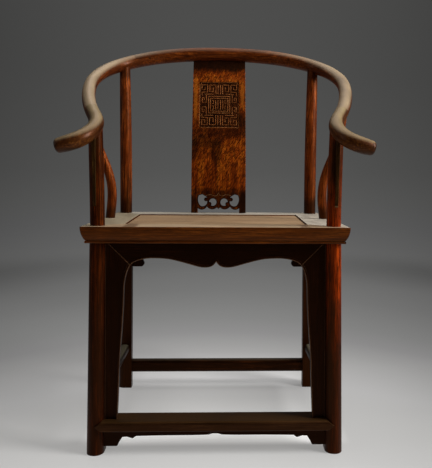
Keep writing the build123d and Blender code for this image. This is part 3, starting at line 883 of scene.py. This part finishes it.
@dataclass
class SeatFrame:
    """The mitred frame, its floating board and the battens below."""

    def build(self) -> None:
        """Dresses each board along its own length."""
        for name, finish, grain in (
            ("seat_rail_front", FRONT_RAIL_FINISH, Grain.ALONG_X),
            ("seat_rail_rear", GREY_RAIL_FINISH, Grain.ALONG_X),
            ("seat_rail_left", FRAME_FINISH, Grain.ALONG_Y),
            ("seat_rail_right", GREY_RAIL_FINISH, Grain.ALONG_Y),
            ("seat_panel", PANEL_FINISH, Grain.ALONG_X),
            ("seat_batten_left", HIDDEN_FINISH, Grain.ALONG_Y),
            ("seat_batten_right", HIDDEN_FINISH, Grain.ALONG_Y),
        ):
            dress(name, finish, grain.turn)


@dataclass
class LegsAndPosts:
    """Four legs that run up as posts, and the bent side posts and spandrels of the arms."""

    def build(self) -> None:
        """Dresses the upright timbers."""
        dress("front_leg_left", LEG_FINISH, Grain.ALONG_Z.turn)
        dress("front_leg_right", LIT_RIGHT_LEG_FINISH, Grain.ALONG_Z.turn)
        for stem, finish in (
            ("post_spandrel", SPANDREL_FINISH),
            ("rear_leg", REAR_LEG_FINISH),
            ("side_post", POST_FINISH),
        ):
            for name in both(stem):
                dress(name, finish, Grain.ALONG_Z.turn)


@dataclass
class Skirt:
    """The arched front apron, the plain aprons with their ears, the stretchers and the footrest.

    Attributes:
        seam: The painted highlight line where the front boards meet the right leg, in millimetres.
        seam_front: How far back from the chair's middle that seam lies, in millimetres.
        seam_radius: Half its width.
        mitre_radius: Half the width of the painted highlight line between two front boards.
        bead_radius: Half the width of the bead along the arch.
    """

    seam: Outline = ((244.8, 473.0), (247.3, 77.5))
    seam_front: float = -214.9
    seam_radius: float = 0.7 * MM
    mitre_radius: float = 0.35 * MM
    bead_radius: float = 1.0 * MM

    def trim(self) -> None:
        """Adds painted highlight lines along the seams, the mitres and the bead of the front apron.
        """
        # How far the side of a board looks down, up or in, as a part of its normal.
        down, up, inward = -0.2, 0.3, -0.5
        seams, mitres = [], []
        bead = edge_lines("front_apron_top", lambda _, way: way.z < down)
        for flip, side in SIDES:
            name = f"front_apron_{side}"
            seams.append([Vector((flip * x, self.seam_front, z)) * MM for x, z in self.seam])
            mitres += edge_lines(name, lambda _, way: way.z > up)
            bead += edge_lines(name, lambda _, way: way.x * flip < inward and way.z < up)
        for name, paths, radius, finish in (
            ("apron_seams", seams, self.seam_radius, SEAM_HIGHLIGHT_FINISH),
            ("apron_mitres", mitres, self.mitre_radius, SEAM_HIGHLIGHT_FINISH),
            ("apron_bead", bead, self.bead_radius, BEAD_HIGHLIGHT_FINISH),
        ):
            add_lines(name, paths, radius, finish)

    def build(self) -> None:
        """Dresses the boards and bars below the seat."""
        along_x, along_y, upright = (grain.turn for grain in Grain)
        for name in ("front_apron_top", "rear_apron", "footrest_apron"):
            dress(name, SHADED_APRON_FINISH, along_x)
        dress("footrest", FOOTREST_FINISH, along_x)
        dress("rear_stretcher", REAR_STRETCHER_FINISH, along_x)
        for name in both("side_stretcher"):
            dress(name, STRETCHER_FINISH, along_y)
        for stem, turn in (
            ("side_apron", along_y),
            ("front_apron", upright),
            ("side_ear_front", upright),
            ("side_ear_rear", upright),
            ("rear_ear", upright),
        ):
            for name in both(stem):
                dress(name, SHADED_APRON_FINISH, turn)
        self.trim()


@dataclass(frozen=True)
class SoftBox:
    """One rectangular lamp.

    Attributes:
        name: Its name.
        place: Where it hangs.
        size: Its width and height.
        watts: Its power.
    """

    name: str
    place: Place
    size: tuple[float, float]
    watts: float


@dataclass
class Studio:
    """A pale floor that fades into a grey backdrop, soft boxes and the camera.

    Attributes:
        floor_radius: Radius of the floor.
        fade: Distances between which the floor gives way to the backdrop.
        shown: Share of the floor's look that glows with its printed gradient, as painted light
            where it is seen. The rest is lit.
        print_run: The floor's gradient, by the distance behind the chair.
        print_bend: How far the gradient moves back at a metre to either side.
        print_fall: Painted shade, darker at a metre to either side, by the same distance.
        print_slant: Painted shade against the right-hand box, darker at a metre to the right, by
            the same distance.
        print_least: The darkest that these may make it.
        painted_pool: Painted pool of light under the seat, with painted shadow bands, as its
            brightness by the distance behind the middle.
        painted_pool_sides: Distances to either side between which that painted pool ends.
        ambience: Strength of the light that comes from all round.
        backdrop: The backdrop's gradient, by the upward slope of the view.
        backdrop_fall: How fast painted shade darkens the backdrop to either side.
        backdrop_least: The darkest that this may make it.
        boxes: The wide overhead box, the stronger right-hand box and the left-hand fill.
        aim: Where the boxes point.
        lens: Focal length of the camera, in millimetres.
        sensor: Height of its upright picture on the sensor, in millimetres.
        lens_shift: Sideways and upward shift of its lens, in picture heights.
        eye: Where it stands: in front, close, and a little lower than the arms.
        gaze: Its turn to the right, its downward tilt and its roll, in radians.
    """

    floor_radius: float = 4.0
    fade: tuple[float, float] = (2.0, 3.4)
    shown: float = 0.42
    print_run: Colours = (
        (-0.30, "e2e1df"), (-0.20, "dad9d7"), (0.06, "d2d1cf"), (0.24, "cbcac9"),
        (0.58, "abaaa9"), (0.76, "9b9a9a"), (0.98, "929291"), (1.24, "8d8d8c"),
        (1.57, "888887"), (2.12, "868685"), (3.26, "767675"),
    )
    print_bend: float = 0.6
    print_fall: Factors = ((0.0, 0.6), (0.35, 0.2))
    print_slant: Factors = ((0.6, 0.16), (1.5, 0.04))
    print_least: float = 0.6
    painted_pool: Factors = (
        (-0.30, 1.0), (-0.22, 1.0), (-0.186, 1.03), (-0.166, 1.5), (-0.13, 1.7), (0.0, 1.1),
        (0.09, 0.92), (0.17, 0.84), (0.20, 1.0), (0.25, 1.3), (0.34, 1.2), (0.50, 1.0),
    )
    painted_pool_sides: tuple[float, float] = (0.22, 0.32)
    ambience: float = 0.07
    backdrop: Colours = (
        (-0.50, "cbcac8"), (-0.272, "8d8d8c"), (-0.206, "777776"), (-0.175, "6f6f6e"),
        (-0.091, "606060"), (-0.049, "5b5b5a"), (0.0, "555554"), (0.056, "525251"),
        (0.16, "4e4e4d"), (0.30, "4d4d4c"),
    )
    backdrop_fall: float = 2.2
    backdrop_least: float = 0.5
    boxes: tuple[SoftBox, ...] = (
        SoftBox("overhead box", (0.1, 0.3, 2.6), (2.4, 2.2), 25),
        SoftBox("right box", (2.5, -0.9, 1.9), (0.9, 1.6), 90),
        SoftBox("left box", (-2.2, -0.6, 1.5), (0.9, 1.6), 4),
    )
    aim: Place = (0, 0, 0.55)
    lens: float = 43.96
    sensor: float = 36
    lens_shift: tuple[float, float] = (-0.0586, -0.0855)
    eye: Place = (18.17 * MM, -1485.69 * MM, 632.92 * MM)
    gaze: Place = (0.0328, 0.0384, 0.0074)

    def seen(self, tree: Tree) -> Socket:
        """One where a ray comes from the camera or from a reflection, and nothing elsewhere.

        Args:
            tree: The node tree that asks.

        Returns:
            The output socket.
        """
        rays = add_node(tree, "ShaderNodeLightPath").outputs
        seen = rays["Is Camera Ray"]
        for kind in ("Is Glossy Ray", "Is Transmission Ray"):
            either = {0: seen, 1: rays[kind]}
            seen = add_node(tree, "ShaderNodeMath", either, operation="MAXIMUM").outputs[0]
        return seen

    def sky(self) -> None:
        """Paints the backdrop by height with painted shade to the sides; lights all round faintly.
        """
        world = bpy.data.worlds.new("grey backdrop")
        bpy.context.scene.world = world
        world.use_nodes = True
        tree = world.node_tree
        tree.nodes.clear()
        towards = add_node(tree, "ShaderNodeTexCoord").outputs["Generated"]
        axes = add_node(tree, "ShaderNodeSeparateXYZ", {0: towards}).outputs
        squared = {0: axes["X"], 1: axes["X"]}
        across = add_node(tree, "ShaderNodeMath", squared, operation="MULTIPLY").outputs[0]
        fall = {0: across, 1: -self.backdrop_fall, 2: 1.0}
        level = add_node(tree, "ShaderNodeMath", fall, operation="MULTIPLY_ADD").outputs[0]
        least = {0: level, 1: self.backdrop_least}
        level = add_node(tree, "ShaderNodeMath", least, operation="MAXIMUM").outputs[0]
        run = [(slope, linear(shade)) for slope, shade in self.backdrop]
        painted = {"Color": look_up(tree, axes["Z"], run), "Strength": level}
        soft = {"Color": linear("ffffff"), "Strength": self.ambience}
        shown, lit = (
            add_node(tree, "ShaderNodeBackground", look).outputs[0] for look in (painted, soft)
        )
        mixed = add_node(tree, "ShaderNodeMixShader", {0: self.seen(tree), 1: lit, 2: shown})
        add_node(tree, "ShaderNodeOutputWorld", {"Surface": mixed.outputs[0]})

    def darkening(self, tree: Tree, axes: Any, bend: Socket) -> Socket:
        """How much painted shade darkens the floor to the sides and to the right.

        Args:
            tree: The floor's node tree.
            axes: Object coordinates, axis by axis.
            bend: The sideways distance, squared.

        Returns:
            The socket of what is taken off its brightness.
        """
        fall, slant = (look_up(tree, axes["Y"], run) for run in (self.print_fall, self.print_slant))
        both_sides = {0: fall, 1: bend}
        fall = add_node(tree, "ShaderNodeMath", both_sides, operation="MULTIPLY").outputs[0]
        total = {0: slant, 1: axes["X"], 2: fall}
        return add_node(tree, "ShaderNodeMath", total, operation="MULTIPLY_ADD").outputs[0]

    def brightening(self, tree: Tree, axes: Any, bend: Socket) -> Socket:
        """How much the painted pool of light and shadow bands under the seat change the floor.

        Args:
            tree: The floor's node tree.
            axes: Object coordinates, axis by axis.
            bend: The sideways distance, squared.

        Returns:
            The socket of the factor.
        """
        # The grey of a ramp ends at 1, so the factors go in halved and come out doubled.
        painted_pool = look_up(tree, axes["Y"], [(place, factor / 2) for place, factor in self.painted_pool])
        doubled = {0: painted_pool, 1: 2.0}
        painted_pool = add_node(tree, "ShaderNodeMath", doubled, operation="MULTIPLY").outputs[0]
        inner, outer = self.painted_pool_sides
        ends = {0: bend, 1: inner**2, 2: outer**2, 3: 0.0, 4: 1.0}
        beside = add_node(tree, "ShaderNodeMapRange", ends).outputs[0]
        mixed = {0: beside, 2: painted_pool, 3: 1.0}
        return add_node(tree, "ShaderNodeMix", mixed, data_type="FLOAT").outputs[0]

    def paper(self) -> bpy.types.Material:
        """Makes the paper: graded front to back, with painted light and shade, clear towards its
        rim.

        Returns:
            The material.
        """
        material = bpy.data.materials.new("Graded paper floor")
        material.use_nodes = True
        tree = material.node_tree
        tree.nodes.clear()
        where = add_node(tree, "ShaderNodeTexCoord").outputs["Object"]
        axes = add_node(tree, "ShaderNodeSeparateXYZ", {0: where}).outputs
        squared = {0: axes["X"], 1: axes["X"]}
        bend = add_node(tree, "ShaderNodeMath", squared, operation="MULTIPLY").outputs[0]
        moved = {0: bend, 1: self.print_bend, 2: axes["Y"]}
        behind = add_node(tree, "ShaderNodeMath", moved, operation="MULTIPLY_ADD").outputs[0]
        printed = look_up(tree, behind, [(at, linear(shade)) for at, shade in self.print_run])

        # A painted pool of light and shadow bands under the seat, and painted shade to the sides.
        level = self.brightening(tree, axes, bend)
        for value, operation in (
            (self.darkening(tree, axes, bend), "SUBTRACT"),
            (self.print_least, "MAXIMUM"),
        ):
            pair = {0: level, 1: value}
            level = add_node(tree, "ShaderNodeMath", pair, operation=operation).outputs[0]
        scaled = {0: printed, "Scale": level}
        printed = add_node(tree, "ShaderNodeVectorMath", scaled, operation="SCALE").outputs[0]

        # Where it is seen, the floor glows with its printed gradient, as painted light.
        glow = add_node(tree, "ShaderNodeEmission", {"Color": printed, "Strength": 1.0})
        matt = {"Base Color": printed, "Roughness": 0.8, "Specular IOR Level": 0.2}
        lit = add_node(tree, "ShaderNodeBsdfPrincipled", matt)
        part = {0: self.seen(tree), 1: self.shown}
        share = add_node(tree, "ShaderNodeMath", part, operation="MULTIPLY").outputs[0]
        looks = {0: share, 1: lit.outputs[0], 2: glow.outputs[0]}
        paper = add_node(tree, "ShaderNodeMixShader", looks).outputs[0]

        away = add_node(tree, "ShaderNodeVectorMath", {0: where}, operation="LENGTH")
        near, far = self.fade
        gone = add_node(
            tree,
            "ShaderNodeMapRange",
            {0: away.outputs["Value"], 1: near, 2: far, 3: 0.0, 4: 1.0},
            interpolation_type="SMOOTHERSTEP",
        ).outputs[0]
        clear = add_node(tree, "ShaderNodeBsdfTransparent").outputs[0]
        mixed = add_node(tree, "ShaderNodeMixShader", {0: gone, 1: paper, 2: clear})
        add_node(tree, "ShaderNodeOutputMaterial", {"Surface": mixed.outputs[0]})
        return material

    def floor(self) -> None:
        """Lays a round floor."""
        shape = bmesh.new()
        bmesh.ops.create_circle(shape, cap_ends=True, segments=96, radius=self.floor_radius)
        mesh = bpy.data.meshes.new("studio_floor")
        shape.to_mesh(mesh)
        shape.free()
        mesh.materials.append(self.paper())
        floor = bpy.data.objects.new("studio_floor", mesh)
        bpy.context.scene.collection.objects.link(floor)

    def lamps(self) -> None:
        """Hangs the soft boxes, aimed at the chair."""
        for box in self.boxes:
            light = bpy.data.lights.new(box.name, "AREA")
            light.shape = "RECTANGLE"
            light.size, light.size_y = box.size
            light.energy = box.watts
            lamp = bpy.data.objects.new(box.name, light)
            lamp.location = box.place
            way = Vector(self.aim) - Vector(box.place)
            lamp.rotation_euler = way.to_track_quat("-Z", "Y").to_euler()
            bpy.context.scene.collection.objects.link(lamp)

    def camera(self) -> None:
        """Places the camera."""
        data = bpy.data.cameras.new("front camera")
        data.lens = self.lens
        data.sensor_width = self.sensor
        data.shift_x, data.shift_y = self.lens_shift
        camera = bpy.data.objects.new("front camera", data)
        camera.location = self.eye
        yaw, pitch, roll = self.gaze
        level = Euler((math.pi / 2 - pitch, 0, -yaw)).to_matrix()
        camera.rotation_euler = (level @ Matrix.Rotation(roll, 3, "Z")).to_euler()
        bpy.context.scene.collection.objects.link(camera)
        bpy.context.scene.camera = camera

    def build(self) -> None:
        """Sets up backdrop, floor, lamps and camera."""
        self.sky()
        self.floor()
        self.lamps()
        self.camera()
        bpy.context.scene.view_settings.view_transform = "Standard"


def main() -> None:
    """Builds the studio and dresses the chair, one sub-assembly after another."""
    logging.basicConfig(level=logging.INFO, format="%(message)s")
    Studio().build()
    for part in (CrestRail(), Splat(), SeatFrame(), LegsAndPosts(), Skirt()):
        LOG.info("building %s", type(part).__name__)
        part.build()


if __name__ == "__main__":
    main()
